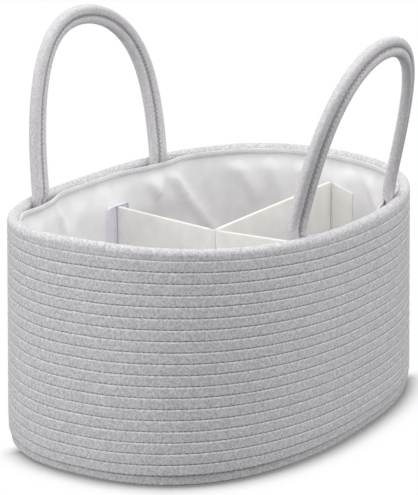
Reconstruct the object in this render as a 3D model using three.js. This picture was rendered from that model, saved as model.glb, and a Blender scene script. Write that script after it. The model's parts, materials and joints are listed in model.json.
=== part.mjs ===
// Oval rope basket with two rope handles and a lift-out divider, in millimetres, +Z up.
// X runs along the basket, Y across it, and the origin is the middle of the flat underside.
// "Front" is the -X end, "left" the +Y side and "right" the -Y side.
import * as THREE from 'three';

// Basket wall: one long rope wound in rows and sewn row to row.
const basketHeight = 178;
const rowCount = 21;
const stepsPerRow = 24;
const rimHalfLength = 187.5;
const rimHalfWidth = 131.3;
const ovalPower = 2.49;
const baseLongerShare = 0.042;
const baseWiderShare = 0.0135;
const rowGap = 0.45;
const ropeHalfWidth = 4.6;
const underTuck = 4.5;
const tuckedRows = 2;
const climbFirstStep = 3;
const climbSteps = 3;

// The soft rim is not level: how far it rises above the basket's height, once and twice round.
const rimRiseEvenly = 1.4;
const rimRiseFarEnd = 1.3;
const rimRiseLeft = 3.1;
const rimRiseEnds = 3.2;
const rimRiseDiagonal = 0.6;

// What seats on or passes something else keeps this gap.
const seatGap = 0.3;

// Base: a flat coil of the same rope.
const baseThickness = 8.2;

// Lining cloth, its floor, its turned-over hem and the row of stitches on it.
const clothThickness = 1.2;
const floorThickness = 2;
const rimShowing = 6.5;
const hemHeight = 6;
const hemThickness = 1;
const stitchThickness = 0.6;
const stitchDrop = 2.4;
const foldDepth = 5;
const liningColumnsPerStep = 4;
const footPocketRamp = 10;

// Handles: two ropes side by side, sewn together, with their feet behind the lining.
const handleRopeRadius = 4;
const handleRopeSides = 8;
const handleRopeGap = 0.3;
const handleCentreX = 0.4;
const leftHalfSpan = 86.5;
const rightHalfSpan = 78.5;
const handleRise = 132.5;
const handlePower = 2.33;
const leftApexShift = -14.5;
const rightApexShift = 4.5;
const pivotAboveRim = 5;
const footLength = 42;
const archSteps = 36;
const leftLeanDegrees = 2;
const rightLeanDegrees = 15.1;
const seamRadius = 0.8;
const seamSides = 5;
const seamSteps = 30;

// Divider: three stiff cloth-covered panels that meet at a sewn seam.
const panelThickness = 4;
const panelNoseThickness = 1.2;
const panelNoseLength = 6;
const seamPostRadius = 1.6;
const seamPostSides = 12;
const junctionX = -3;
const junctionY = 1;
const panelHeight = 137;
const leftPanelDrop = 1.5;
const endPanelRise = 8.5;
const leftTabX = 29.5;
const rightTabX = -7;
const endFlapY = -12;
const tabWidth = 30;
const tabThickness = 1.5;
const tabRise = 5;
const liftClearance = 0.7;
const flapWidth = 24;
const flapDrop = 7;
const flapHingeRadius = 0.8;

const turn = 2 * Math.PI;
const rowPitch = basketHeight / rowCount;

// One oval, flattened towards its ends and sides, at a share of the way round and up.
function smoothOval(roundShare, upShare) {
  const c = Math.cos(turn * roundShare);
  const s = Math.sin(turn * roundShare);
  const halfLength = rimHalfLength * (1 + baseLongerShare * (1 - upShare));
  const halfWidth = rimHalfWidth * (1 + baseWiderShare * (1 - upShare));
  const bend = 2 / ovalPower;
  const x = halfLength * Math.sign(c) * Math.abs(c) ** bend;
  const y = halfWidth * Math.sign(s) * Math.abs(s) ** bend;
  return new THREE.Vector2(x, y);
}

// The way out of the wall, square to the oval.
function smoothOutward(roundShare, upShare) {
  const p = smoothOval(roundShare, upShare);
  const halfLength = smoothOval(0, upShare).x;
  const halfWidth = smoothOval(0.25, upShare).y;
  const nx = (Math.sign(p.x) * Math.abs(p.x / halfLength) ** (ovalPower - 1)) / halfLength;
  const ny = (Math.sign(p.y) * Math.abs(p.y / halfWidth) ** (ovalPower - 1)) / halfWidth;
  return new THREE.Vector2(nx, ny).normalize();
}

// The rope runs straight from step to step, so everything inside it follows the same polygon.
function atStep(source, roundShare, upShare) {
  const step = roundShare * stepsPerRow;
  const low = Math.floor(step + 1e-9);
  const a = source(low / stepsPerRow, upShare);
  const b = source((low + 1) / stepsPerRow, upShare);
  return a.lerp(b, step - low);
}

// How far the rim stands above the basket's height there.
function rimRise(roundShare) {
  const p = atStep(smoothOval, roundShare, 1);
  const angle = Math.atan2(p.y / rimHalfWidth, p.x / rimHalfLength);
  const once = rimRiseFarEnd * Math.cos(angle) + rimRiseLeft * Math.sin(angle);
  const twice = rimRiseEnds * Math.cos(2 * angle) + rimRiseDiagonal * Math.sin(2 * angle);
  return rimRiseEvenly + once + twice;
}

function rimTop(roundShare) {
  return basketHeight + rimRise(roundShare);
}

function pitchAt(roundShare) {
  return rimTop(roundShare) / rowCount;
}

// A point at a given depth inside the rope's centre line, at a height z.
function inWall(roundShare, z, depth) {
  const upShare = Math.min(1, Math.max(0, z / basketHeight));
  const tuckedHeight = tuckedRows * rowPitch;
  const tuck = underTuck * Math.max(0, 1 - z / tuckedHeight) ** 2;
  const centre = atStep(smoothOval, roundShare, upShare);
  const out = atStep(smoothOutward, roundShare, upShare).normalize();
  return centre.addScaledVector(out, -(depth + tuck));
}

// A closed body from rings of points, each ring with the same number of points, with flat ends.
function tubeFromRings(rings, joined = false) {
  const sides = rings[0].length;
  const positions = rings.flat().flatMap((p) => [p.x, p.y, p.z]);
  const index = [];
  const last = joined ? rings.length : rings.length - 1;
  for (let i = 0; i < last; i += 1) {
    const here = i * sides;
    const next = ((i + 1) % rings.length) * sides;
    for (let j = 0; j < sides; j += 1) {
      const k = (j + 1) % sides;
      index.push(here + j, here + k, next + k, here + j, next + k, next + j);
    }
  }
  if (!joined) {
    const end = (rings.length - 1) * sides;
    for (let j = 1; j < sides - 1; j += 1) {
      index.push(0, j + 1, j);
      index.push(end, end + j, end + j + 1);
    }
  }
  return outward(positions, index);
}

// Turns the faces round if they point in, by the sign of the volume that they enclose.
function outward(positions, index) {
  const geometry = new THREE.BufferGeometry();
  geometry.setAttribute('position', new THREE.Float32BufferAttribute(positions, 3));
  const corner = (i) => new THREE.Vector3(...positions.slice(3 * i, 3 * i + 3));
  let volume = 0;
  for (let i = 0; i < index.length; i += 3) {
    const [a, b, c] = [corner(index[i]), corner(index[i + 1]), corner(index[i + 2])];
    volume += a.dot(b.cross(c));
  }
  if (volume < 0) {
    for (let i = 0; i < index.length; i += 3) {
      [index[i + 1], index[i + 2]] = [index[i + 2], index[i + 1]];
    }
  }
  geometry.setIndex(index);
  geometry.computeVertexNormals();
  return geometry;
}

// An upright plate from a convex outline in plan, with its top at a height for each corner.
function uprightPlate(outline, bottom, topAt) {
  const low = outline.map((p) => new THREE.Vector3(p.x, p.y, bottom));
  const high = outline.map((p) => new THREE.Vector3(p.x, p.y, topAt(p)));
  return tubeFromRings([low, high]);
}

// The wound rope. Each row runs level, then climbs to the next row on the far left side,
// and the rope's two ends are shaved off level with the base and with the rim.
const wallRings = [];

function wallRope() {
  const levelStart = climbFirstStep + climbSteps;
  const firstStep = climbFirstStep + 1;
  const lastStep = levelStart + rowCount * stepsPerRow - 1;
  for (let step = firstStep; step <= lastStep; step += 1) {
    const wound = Math.ceil((step - levelStart) / stepsPerRow) - 1;
    const sinceLevel = step - levelStart - wound * stepsPerRow;
    const climb = Math.max(0, (sinceLevel - (stepsPerRow - climbSteps)) / climbSteps);
    const roundShare = (step % stepsPerRow) / stepsPerRow;
    const pitch = pitchAt(roundShare);
    const middle = (wound + climb + 1 / 2) * pitch;
    const half = (pitch - rowGap) / 2;
    const low = Math.max(middle - half, rowGap / 2);
    const high = Math.min(middle + half, rowCount * pitch - rowGap / 2);
    wallRings.push({ step, low, high, points: ropeRing(roundShare, low, high) });
  }
  return tubeFromRings(wallRings.map((ring) => ring.points));
}

// Six points round the rope: flat above and below, pointed in and out.
function ropeRing(roundShare, low, high) {
  const middle = (low + high) / 2;
  const flatShare = 0.5;
  const places = [
    [1, middle],
    [flatShare, high],
    [-flatShare, high],
    [-1, middle],
    [-flatShare, low],
    [flatShare, low],
  ];
  const seat = Math.max(middle, rowPitch / 2);
  return places.map(([outShare, z]) => {
    const p = inWall(roundShare, seat, -outShare * ropeHalfWidth);
    return new THREE.Vector3(p.x, p.y, z);
  });
}

function printLeastRowGap() {
  let least = Infinity;
  wallRings.forEach((ring) => {
    const above = wallRings.find((other) => other.step === ring.step + stepsPerRow);
    if (above) least = Math.min(least, above.low - ring.high);
  });
  console.log('least gap between the rows of the wall rope, mm:', least.toFixed(3));
}

// Where each layer lies, measured in from the wall rope's centre line.
const liningOuterDepth = ropeHalfWidth + seatGap;
const liningInnerDepth = liningOuterDepth + clothThickness;
const hemOuterDepth = liningInnerDepth + seatGap;
const hemInnerDepth = hemOuterDepth + hemThickness;
const stitchOuterDepth = hemInnerDepth + seatGap;
const stitchInnerDepth = stitchOuterDepth + stitchThickness;
const clearDepth = stitchInnerDepth + liftClearance;
const liningBottom = baseThickness + seatGap;
const floorTop = liningBottom + floorThickness;

// The share of the way round at which the left side reaches x.
function shareAtX(x) {
  let low = 0;
  let high = 0.5;
  for (let i = 0; i < 40; i += 1) {
    const middle = (low + high) / 2;
    if (atStep(smoothOval, middle, 1).x > x) low = middle;
    else high = middle;
  }
  return low;
}

// How far out the side lies at x, at a depth inside the wall rope's centre line.
function sideYAt(x, depth) {
  const share = shareAtX(x);
  return inWall(share, basketHeight, depth).y;
}

// Handle feet: each handle's two ropes go down behind the lining, side by side.
const ropeOffset = handleRopeRadius + handleRopeGap / 2;
const footDepth = ropeHalfWidth + 2 * seatGap + handleRopeRadius;
const footTopBelowPivot = handleRopeRadius + seatGap;

function handleOnSide(name, side, halfSpan, apexShift, leanDegrees) {
  const feetX = [handleCentreX - halfSpan, handleCentreX + halfSpan];
  const footY = sideYAt(feetX[1] + ropeOffset, footDepth);
  const pocketDepth = sideYAt(feetX[0] + ropeOffset, 0) - footY + handleRopeRadius + seatGap;
  const rimTops = feetX.map((x) => rimTop(side > 0 ? shareAtX(x) : 1 - shareAtX(x)));
  const pivotZ = Math.max(...rimTops) + pivotAboveRim;
  return { name, side, halfSpan, apexShift, leanDegrees, feetX, footY, pocketDepth, pivotZ };
}

const leftHandle = handleOnSide('left', 1, leftHalfSpan, leftApexShift, leftLeanDegrees);
const rightHandle = handleOnSide('right', -1, rightHalfSpan, rightApexShift, rightLeanDegrees);

function footRope(x, handle) {
  const low = [];
  const high = [];
  for (let i = 0; i < handleRopeSides; i += 1) {
    const angle = (turn * (i + 0.5)) / handleRopeSides;
    const px = x + handleRopeRadius * Math.cos(angle);
    const py = handle.side * handle.footY + handleRopeRadius * Math.sin(angle);
    low.push(new THREE.Vector3(px, py, handle.pivotZ - footLength));
    high.push(new THREE.Vector3(px, py, handle.pivotZ - footTopBelowPivot));
  }
  return tubeFromRings([low, high]);
}

// How much deeper the lining lies there, because it passes inside a handle's foot.
function footPocket(roundShare) {
  const p = atStep(smoothOval, roundShare, 1);
  const handle = p.y > 0 ? leftHandle : rightHandle;
  const flat = ropeOffset + handleRopeRadius;
  const nearest = Math.min(...handle.feetX.map((x) => Math.abs(p.x - x)));
  const ramp = Math.max(0, nearest - flat - footPocketRamp) / footPocketRamp;
  return (handle.pocketDepth - liningOuterDepth) * Math.max(0, 1 - ramp);
}

// The lining's soft folds: where each lies on the way round, and how deep it is.
const foldShares = [
  [0.085, 1],
  [0.335, 0.8],
  [0.455, 1],
  [0.54, 0.8],
  [0.6, 0.6],
  [0.855, 0.9],
  [0.925, 0.7],
];
const foldWidthShare = 0.03;

function foldAt(roundShare) {
  let depth = 0;
  foldShares.forEach(([place, depthShare]) => {
    const away = Math.min(1, Math.abs(roundShare - place) / foldWidthShare);
    depth += (foldDepth * depthShare * (1 + Math.cos(Math.PI * away))) / 2;
  });
  return depth;
}

// The lining's levels: how much of a foot's pocket and of a fold each shows.
function liningLevels(roundShare) {
  const top = rimTop(roundShare) - rimShowing;
  const pocketBottom = top - footLength;
  return [
    { z: liningBottom, pocketShare: 0, foldShare: 0 },
    { z: liningBottom + tuckedRows * rowPitch, pocketShare: 0, foldShare: 0.5 },
    { z: pocketBottom - footPocketRamp, pocketShare: 0, foldShare: 1 },
    { z: pocketBottom, pocketShare: 1, foldShare: 1 },
    { z: top - hemHeight - stitchThickness, pocketShare: 1, foldShare: 0 },
    { z: top, pocketShare: 1, foldShare: 0 },
  ];
}

function liningRing(roundShare) {
  const levels = liningLevels(roundShare);
  const at = (level, depth) => {
    const extra = level.pocketShare * footPocket(roundShare) + level.foldShare * foldAt(roundShare);
    const p = inWall(roundShare, level.z, depth + extra);
    return new THREE.Vector3(p.x, p.y, level.z);
  };
  const outside = levels.map((level) => at(level, liningOuterDepth));
  const inside = levels.map((level) => at(level, liningInnerDepth)).reverse();
  return [...outside, ...inside];
}

// A band that runs all round below the rim, between two depths and two drops from its top.
function bandRing(roundShare, outerDepth, innerDepth, topDrop, bottomDrop) {
  const top = rimTop(roundShare) - rimShowing;
  const pocket = footPocket(roundShare);
  const corners = [
    [outerDepth, top - bottomDrop],
    [outerDepth, top - topDrop],
    [innerDepth, top - topDrop],
    [innerDepth, top - bottomDrop],
  ];
  return corners.map(([depth, z]) => {
    const p = inWall(roundShare, z, depth + pocket);
    return new THREE.Vector3(p.x, p.y, z);
  });
}

function roundTheWall(ringAt) {
  const columns = stepsPerRow * liningColumnsPerStep;
  const rings = Array.from({ length: columns }, (_, i) => ringAt(i / columns));
  return tubeFromRings(rings, true);
}

function ovalPlate(depth, bottom, top) {
  const outline = Array.from({ length: stepsPerRow }, (_, i) => {
    return inWall(i / stepsPerRow, Math.max(bottom, rowPitch / 2), depth);
  });
  return uprightPlate(outline, bottom, () => top);
}

// A handle's arch in its own plane: x along the basket, y up the arch from the hinge line.
function archPoint(handle, share) {
  const angle = Math.PI * (1 - share);
  const bend = 2 / handlePower;
  const across = Math.sign(Math.cos(angle)) * Math.abs(Math.cos(angle)) ** bend;
  const up = Math.abs(Math.sin(angle)) ** bend;
  const x = handleCentreX + handle.halfSpan * across + handle.apexShift * up ** 2;
  return new THREE.Vector2(x, handleRise * up);
}

// The arch moved sideways in its plane: positive is outside, negative inside the arch.
function archAside(handle, share, aside) {
  const nearShare = 0.002;
  const before = archPoint(handle, Math.max(0, share - nearShare));
  const after = archPoint(handle, Math.min(1, share + nearShare));
  const along = after.sub(before).normalize();
  const atFoot = share < nearShare || share > 1 - nearShare;
  if (atFoot) along.set(0, share < 0.5 ? 1 : -1);
  const out = new THREE.Vector2(-along.y, along.x);
  return { centre: archPoint(handle, share).addScaledVector(out, aside), along, out };
}

// A round tube along the arch. Its ends are domes that turn on the feet, where asked.
function archTube(handle, aside, lift, radius, sides, steps, firstShare, domed) {
  const rings = [];
  const domeAngles = domed ? [75, 40] : [];
  const ringAt = ({ centre, along, out }, ringRadius, ahead) => {
    return Array.from({ length: sides }, (_, i) => {
      const angle = (turn * (i + 0.5)) / sides;
      const p = centre.clone().addScaledVector(out, ringRadius * Math.cos(angle));
      p.addScaledVector(along, ahead);
      return new THREE.Vector3(p.x, lift + ringRadius * Math.sin(angle), p.y);
    });
  };
  const dome = (place, degrees, way) => {
    const angle = THREE.MathUtils.degToRad(degrees);
    rings.push(ringAt(place, radius * Math.cos(angle), way * radius * Math.sin(angle)));
  };
  domeAngles.forEach((degrees) => dome(archAside(handle, firstShare, aside), degrees, -1));
  for (let i = 0; i <= steps; i += 1) {
    const share = firstShare + ((1 - 2 * firstShare) * i) / steps;
    rings.push(ringAt(archAside(handle, share, aside), radius, 0));
  }
  const farFoot = archAside(handle, 1 - firstShare, aside);
  [...domeAngles].reverse().forEach((degrees) => dome(farFoot, degrees, 1));
  return tubeFromRings(rings);
}

// The seam threads lie in the two grooves between the ropes.
const seamReach = handleRopeRadius + seamRadius + seatGap / 2;
const seamLift = Math.sqrt(seamReach ** 2 - ropeOffset ** 2);
const seamFirstShare = 0.03;

// Divider panels: a thin nose at the sewn seam, then a stiff board.
const panelTop = floorTop + seatGap + panelHeight;
const junction = new THREE.Vector2(junctionX, junctionY);

function sideTabY(x, side) {
  const xs = [x - tabWidth / 2, x, x + tabWidth / 2];
  return side * Math.min(...xs.map((edge) => sideYAt(edge, clearDepth)));
}

// A panel from the seam to an end plane, given by a point on it and the direction along it.
function panel(endPoint, endAlong, rise) {
  const along = endPoint.clone().sub(junction).normalize();
  const across = new THREE.Vector2(-along.y, along.x);
  const noseStart = seamPostRadius + seatGap;
  const at = (ahead, aside) => {
    return junction.clone().addScaledVector(along, ahead).addScaledVector(across, aside);
  };
  const endAhead = (aside) => {
    const start = at(0, aside).sub(endPoint);
    const facing = new THREE.Vector2(-endAlong.y, endAlong.x);
    return -start.dot(facing) / along.dot(facing);
  };
  const half = panelThickness / 2;
  const noseHalf = panelNoseThickness / 2;
  const outline = [
    at(noseStart, -noseHalf),
    at(noseStart + panelNoseLength, -half),
    at(endAhead(-half), -half),
    at(endAhead(half), half),
    at(noseStart + panelNoseLength, half),
    at(noseStart, noseHalf),
  ];
  const length = endPoint.distanceTo(junction);
  const topAt = (p) => panelTop + (rise * p.clone().sub(junction).dot(along)) / length;
  return uprightPlate(outline, floorTop + seatGap, topAt);
}

function sideTab(x, side, top) {
  const outer = sideTabY(x, side);
  const inner = outer - side * tabThickness;
  const outline = [
    new THREE.Vector2(x - tabWidth / 2, inner),
    new THREE.Vector2(x + tabWidth / 2, inner),
    new THREE.Vector2(x + tabWidth / 2, outer),
    new THREE.Vector2(x - tabWidth / 2, outer),
  ];
  return uprightPlate(outline, floorTop + seatGap, () => top);
}

// The far end's wall between the end flap's two edges, clear of everything that it lifts past.
function endWallX(y) {
  const ahead = inWall(0, basketHeight, clearDepth);
  const aside = inWall(1 - 1 / stepsPerRow, basketHeight, clearDepth);
  return ahead.x + ((aside.x - ahead.x) * (ahead.y - y)) / (ahead.y - aside.y);
}

const flapOuterEnd = new THREE.Vector2(endWallX(endFlapY - flapWidth), endFlapY - flapWidth);
const flapOuterFold = new THREE.Vector2(endWallX(endFlapY), endFlapY);
const flapAlong = flapOuterEnd.clone().sub(flapOuterFold).normalize();
const flapInward = new THREE.Vector2(flapAlong.y, -flapAlong.x);
const endPanelPoint = flapOuterFold.clone().addScaledVector(flapInward, tabThickness + seatGap);

// The flap's hinge is a rolled edge beside the end panel's corner.
const flapHinge = flapOuterFold
  .clone()
  .addScaledVector(flapAlong, panelThickness / 2 + seatGap + flapHingeRadius)
  .addScaledVector(flapInward, flapHingeRadius);

function uprightPost(centre, radius, bottom, top) {
  const outline = Array.from({ length: seamPostSides }, (_, i) => {
    const angle = (turn * i) / seamPostSides;
    const reach = new THREE.Vector2(Math.cos(angle), Math.sin(angle)).multiplyScalar(radius);
    return centre.clone().add(reach);
  });
  return uprightPlate(outline, bottom, () => top);
}

function endFlap() {
  const start = flapHinge.clone().addScaledVector(flapAlong, flapHingeRadius + seatGap);
  const width = flapOuterEnd.distanceTo(start);
  const at = (ahead, aside) => {
    const p = flapOuterFold.clone().addScaledVector(flapInward, aside);
    const from = start.clone().sub(flapOuterFold).dot(flapAlong);
    return p.addScaledVector(flapAlong, from + ahead);
  };
  const outline = [at(0, 0), at(width, 0), at(width, tabThickness), at(0, tabThickness)];
  const drop = (p) => (flapDrop * p.clone().sub(start).dot(flapAlong)) / width;
  const topAt = (p) => panelTop + endPanelRise - drop(p);
  return uprightPlate(outline, floorTop + seatGap, topAt);
}

// Materials: one for each kind of cloth and cord.
const cloth = (colour, roughness) => {
  return new THREE.MeshStandardMaterial({ color: colour, roughness, metalness: 0 });
};
const ropeCotton = cloth('#bfbdc0', 0.95);
const liningCotton = cloth('#e6e4e5', 0.9);
const panelCloth = cloth('#dad9d6', 0.85);
const hookTape = cloth('#dcdae8', 0.7);
const seamThread = cloth('#9c9a9d', 0.8);

const basket = new THREE.Group();

function add(parent, name, geometry, material) {
  const mesh = new THREE.Mesh(geometry, material.clone());
  mesh.name = name;
  parent.add(mesh);
}

// Basket: the wound wall, its base and its lining.
add(basket, 'wall_rope', wallRope(), ropeCotton);
printLeastRowGap();
const baseDepth = ropeHalfWidth + seatGap;
add(basket, 'base', ovalPlate(baseDepth, 0, baseThickness), ropeCotton);
add(basket, 'lining_wall', roundTheWall(liningRing), liningCotton);
const floorDepth = liningInnerDepth + seatGap;
add(basket, 'lining_floor', ovalPlate(floorDepth, liningBottom, floorTop), liningCotton);
const hemRing = (share) => bandRing(share, hemOuterDepth, hemInnerDepth, 0, hemHeight);
add(basket, 'lining_hem', roundTheWall(hemRing), liningCotton);
const stitchRing = (share) => {
  return bandRing(share, stitchOuterDepth, stitchInnerDepth, stitchDrop, stitchDrop + stitchThickness);
};
add(basket, 'hem_stitches', roundTheWall(stitchRing), seamThread);

// The four feet, two ropes each.
const handles = [leftHandle, rightHandle];
handles.forEach((handle) => {
  const [frontX, backX] = handle.feetX;
  const foot = (name, x) => {
    add(basket, `${handle.name}_handle_${name}`, footRope(x, handle), ropeCotton);
  };
  foot('front_foot_outer', frontX - ropeOffset);
  foot('front_foot_inner', frontX + ropeOffset);
  foot('back_foot_inner', backX - ropeOffset);
  foot('back_foot_outer', backX + ropeOffset);
});

// The two handles, each leaning out about its hinge line just above the rim.
handles.forEach((handle) => {
  const { name, side } = handle;
  const arch = new THREE.Group();
  arch.position.set(0, side * handle.footY, handle.pivotZ);
  arch.rotation.x = -side * THREE.MathUtils.degToRad(handle.leanDegrees);
  basket.add(arch);
  const rope = (aside) => {
    return archTube(handle, aside, 0, handleRopeRadius, handleRopeSides, archSteps, 0, true);
  };
  const seam = (lift) => {
    return archTube(handle, 0, lift, seamRadius, seamSides, seamSteps, seamFirstShare, false);
  };
  add(arch, `${name}_handle_outer_rope`, rope(ropeOffset), ropeCotton);
  add(arch, `${name}_handle_inner_rope`, rope(-ropeOffset), ropeCotton);
  add(arch, `${name}_handle_seam_outside`, seam(side * seamLift), seamThread);
  add(arch, `${name}_handle_seam_inside`, seam(-side * seamLift), seamThread);
});

// The divider: seam post, three panels, two fastening tabs and the end panel's folding flap.
const panelBottom = floorTop + seatGap;
add(basket, 'divider_centre_seam', uprightPost(junction, seamPostRadius, panelBottom, panelTop), panelCloth);
const tabPanel = (x, side, rise) => {
  const face = sideTabY(x, side) - side * (tabThickness + seatGap);
  return panel(new THREE.Vector2(x, face), new THREE.Vector2(1, 0), rise);
};
add(basket, 'divider_left_panel', tabPanel(leftTabX, 1, -leftPanelDrop), panelCloth);
add(basket, 'divider_right_panel', tabPanel(rightTabX, -1, 0), panelCloth);
add(basket, 'divider_end_panel', panel(endPanelPoint, flapAlong, endPanelRise), panelCloth);
const leftTabTop = panelTop - leftPanelDrop + tabRise;
add(basket, 'divider_left_hook_tab', sideTab(leftTabX, 1, leftTabTop), hookTape);
add(basket, 'divider_right_hook_tab', sideTab(rightTabX, -1, panelTop + tabRise), hookTape);
const hingeTop = panelTop + endPanelRise;
const hingePost = uprightPost(flapHinge, flapHingeRadius, panelBottom, hingeTop);
add(basket, 'divider_end_flap_fold', hingePost, panelCloth);
add(basket, 'divider_end_flap', endFlap(), panelCloth);

export default basket;
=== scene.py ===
import json
import math

import bpy
import numpy as np
from mathutils import Matrix, Vector, noise


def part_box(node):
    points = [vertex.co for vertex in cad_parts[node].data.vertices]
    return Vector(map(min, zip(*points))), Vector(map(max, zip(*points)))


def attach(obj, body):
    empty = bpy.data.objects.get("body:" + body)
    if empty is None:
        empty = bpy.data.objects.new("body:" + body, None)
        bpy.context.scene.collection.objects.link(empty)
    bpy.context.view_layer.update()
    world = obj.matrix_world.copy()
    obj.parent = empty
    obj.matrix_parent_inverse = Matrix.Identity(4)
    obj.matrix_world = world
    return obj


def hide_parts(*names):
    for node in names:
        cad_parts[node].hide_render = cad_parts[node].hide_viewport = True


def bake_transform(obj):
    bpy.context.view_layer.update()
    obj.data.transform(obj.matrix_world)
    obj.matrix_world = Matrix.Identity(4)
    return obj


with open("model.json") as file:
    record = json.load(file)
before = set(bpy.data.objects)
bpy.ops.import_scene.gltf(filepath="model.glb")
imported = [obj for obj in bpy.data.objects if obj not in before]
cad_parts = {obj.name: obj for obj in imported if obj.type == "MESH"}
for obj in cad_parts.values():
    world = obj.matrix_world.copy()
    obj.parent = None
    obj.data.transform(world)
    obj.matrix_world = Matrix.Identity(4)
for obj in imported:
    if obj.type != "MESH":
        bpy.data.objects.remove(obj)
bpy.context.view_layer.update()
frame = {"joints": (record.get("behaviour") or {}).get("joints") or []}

# Camera: level with a table top, at the near left corner of the caddy, on a long lens.
# Its place, direction and roll were fitted to the rim, base and sides in the photograph.
look_azimuth = math.radians(-58.5)
look_down = math.radians(14.3)
look_roll = math.radians(-0.29)
camera_far = 1.479
camera_right = -0.00656
camera_up = 0.129
focal_pixels = 1758
photo_height_pixels = 495
sensor_height = 36.0
nearest_seen = 0.05

back = Vector((
    math.sin(look_azimuth) * math.cos(look_down),
    -math.cos(look_azimuth) * math.cos(look_down),
    math.sin(look_down),
))
right = Vector((math.cos(look_azimuth), math.sin(look_azimuth), 0))
up = back.cross(right)
rolled_right = math.cos(look_roll) * right + math.sin(look_roll) * up
rolled_up = math.cos(look_roll) * up - math.sin(look_roll) * right
camera_place = back * camera_far + right * camera_right + up * camera_up

camera_data = bpy.data.cameras.new("camera")
camera_data.lens = focal_pixels * sensor_height / photo_height_pixels
camera_data.sensor_width = sensor_height
camera_data.clip_start = nearest_seen
camera = bpy.data.objects.new("camera", camera_data)
camera.matrix_world = Matrix((
    (rolled_right.x, rolled_up.x, back.x, camera_place.x),
    (rolled_right.y, rolled_up.y, back.y, camera_place.y),
    (rolled_right.z, rolled_up.z, back.z, camera_place.z),
    (0, 0, 0, 1),
))
bpy.context.scene.collection.objects.link(camera)
bpy.context.scene.camera = camera

bpy.context.scene.view_settings.view_transform = "Standard"

# Floor and light: a seamless white sweep in a soft, even studio. The floor stays white to the
# camera but keeps the narrow contact shadow under the basket.


def linear(hex_colour):
    """The linear red, green, blue and alpha of an sRGB hex colour."""
    parts = [int(hex_colour[i:i + 2], 16) / 255 for i in (1, 3, 5)]
    return [p / 12.92 if p <= 0.04045 else ((p + 0.055) / 1.055) ** 2.4 for p in parts] + [1.0]


def add_node(tree, kind, settings=None):
    """Adds a shader node and sets its properties and its inputs. An input is given a value, or
    is linked to a socket or to another node's first output.
    """
    node = tree.nodes.new("ShaderNode" + kind)
    for name, value in (settings or {}).items():
        if isinstance(name, str) and hasattr(node, name):
            setattr(node, name, value)
        elif isinstance(value, bpy.types.Node):
            tree.links.new(value.outputs[0], node.inputs[name])
        elif isinstance(value, bpy.types.NodeSocket):
            tree.links.new(value, node.inputs[name])
        else:
            node.inputs[name].default_value = value
    return node


def add_math(tree, operation, *values):
    """Adds a node that works out a number from others, which may be linked."""
    return add_node(tree, "Math", {"operation": operation, **dict(enumerate(values))})


def add_ramp(tree, share, colours, positions=(0, 1)):
    """Adds a blend from one colour to another, between two positions."""
    ramp = add_node(tree, "ValToRGB", {"Fac": share})
    for stop, position, colour in zip(ramp.color_ramp.elements, positions, colours):
        stop.position = position
        stop.color = linear(colour)
    return ramp


def add_surface(
    tree, colour, height, depth, roughness, gleam, strength=0.5, sheen=0, sheen_roughness=0.5,
    inverted=False,
):
    """Ends a material in a surface of that colour, bumped by a height."""
    bump = add_node(tree, "Bump", {
        "invert": inverted, "Strength": strength, "Distance": depth, "Height": height,
    })
    surface = add_node(tree, "BsdfPrincipled", {
        "Base Color": colour, "Roughness": roughness, "Specular IOR Level": gleam,
        "Sheen Weight": sheen, "Sheen Roughness": sheen_roughness, "Normal": bump,
    })
    add_node(tree, "OutputMaterial", {"Surface": surface})


def new_material(name):
    """A material with an empty node tree, and that tree."""
    material = bpy.data.materials.new(name)
    material.use_nodes = True
    material.node_tree.nodes.clear()
    return material, material.node_tree


floor_size = 8
shadow_reach = 0.03
shadow_depth = 0.74
shadow_gain = 2.0
shadow_falloff = 2.8
shadow_samples = 8
shadow_side = (-0.5, -0.866, 0)
shadow_edge = 0.015

# White paper: matt, so it gives back soft light with no gleam. The camera sees it as plain white
# with the contact shadow, and only what bounces off it is greyer.
bpy.ops.mesh.primitive_plane_add(size=1)
floor = bpy.context.object
floor.name = "floor"
floor.data.transform(Matrix.Diagonal((floor_size, floor_size, 1, 1)))
floor_paper, tree = new_material("white paper sweep")
light_path = add_node(tree, "LightPath")
matt_paper = add_node(tree, "BsdfDiffuse", {"Color": linear("#686868")})
contact = add_node(tree, "AmbientOcclusion", {"samples": shadow_samples, "Distance": shadow_reach})
hidden = add_math(tree, "MULTIPLY_ADD", contact.outputs["AO"], -shadow_gain, shadow_gain)
hidden.use_clamp = True
deepened = add_math(tree, "POWER", hidden, shadow_falloff)
place = add_node(tree, "TexCoord").outputs["Object"]
nearer = add_node(tree, "VectorMath", {"operation": "DOT_PRODUCT", 0: place, 1: shadow_side})
on_near_side = add_node(tree, "MapRange", {
    "Value": nearer.outputs["Value"],
    "From Min": shadow_edge, "From Max": shadow_edge + shadow_reach / 2,
})
shadow = add_math(tree, "MULTIPLY", deepened, on_near_side)
paper_white = add_math(tree, "MULTIPLY_ADD", shadow, -shadow_depth, 1.0)
seen_paper = add_node(tree, "Emission", {"Strength": paper_white})
paper_mix = add_node(
    tree, "MixShader", {0: light_path.outputs["Is Camera Ray"], 1: matt_paper, 2: seen_paper},
)
add_node(tree, "OutputMaterial", {"Surface": paper_mix})
floor.data.materials.append(floor_paper)

studio_strength = 0.64
seen_strength = 1.0
world = bpy.data.worlds.new("white studio")
bpy.context.scene.world = world
world.use_nodes = True
tree = world.node_tree
tree.nodes.clear()
light_path = add_node(tree, "LightPath")
studio = add_node(tree, "Background", {"Color": linear("#ffffff"), "Strength": studio_strength})
white = add_node(tree, "Background", {"Color": linear("#ffffff"), "Strength": seen_strength})
world_mix = add_node(
    tree, "MixShader", {0: light_path.outputs["Is Camera Ray"], 1: studio, 2: white},
)
add_node(tree, "OutputWorld", {"Surface": world_mix})

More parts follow.
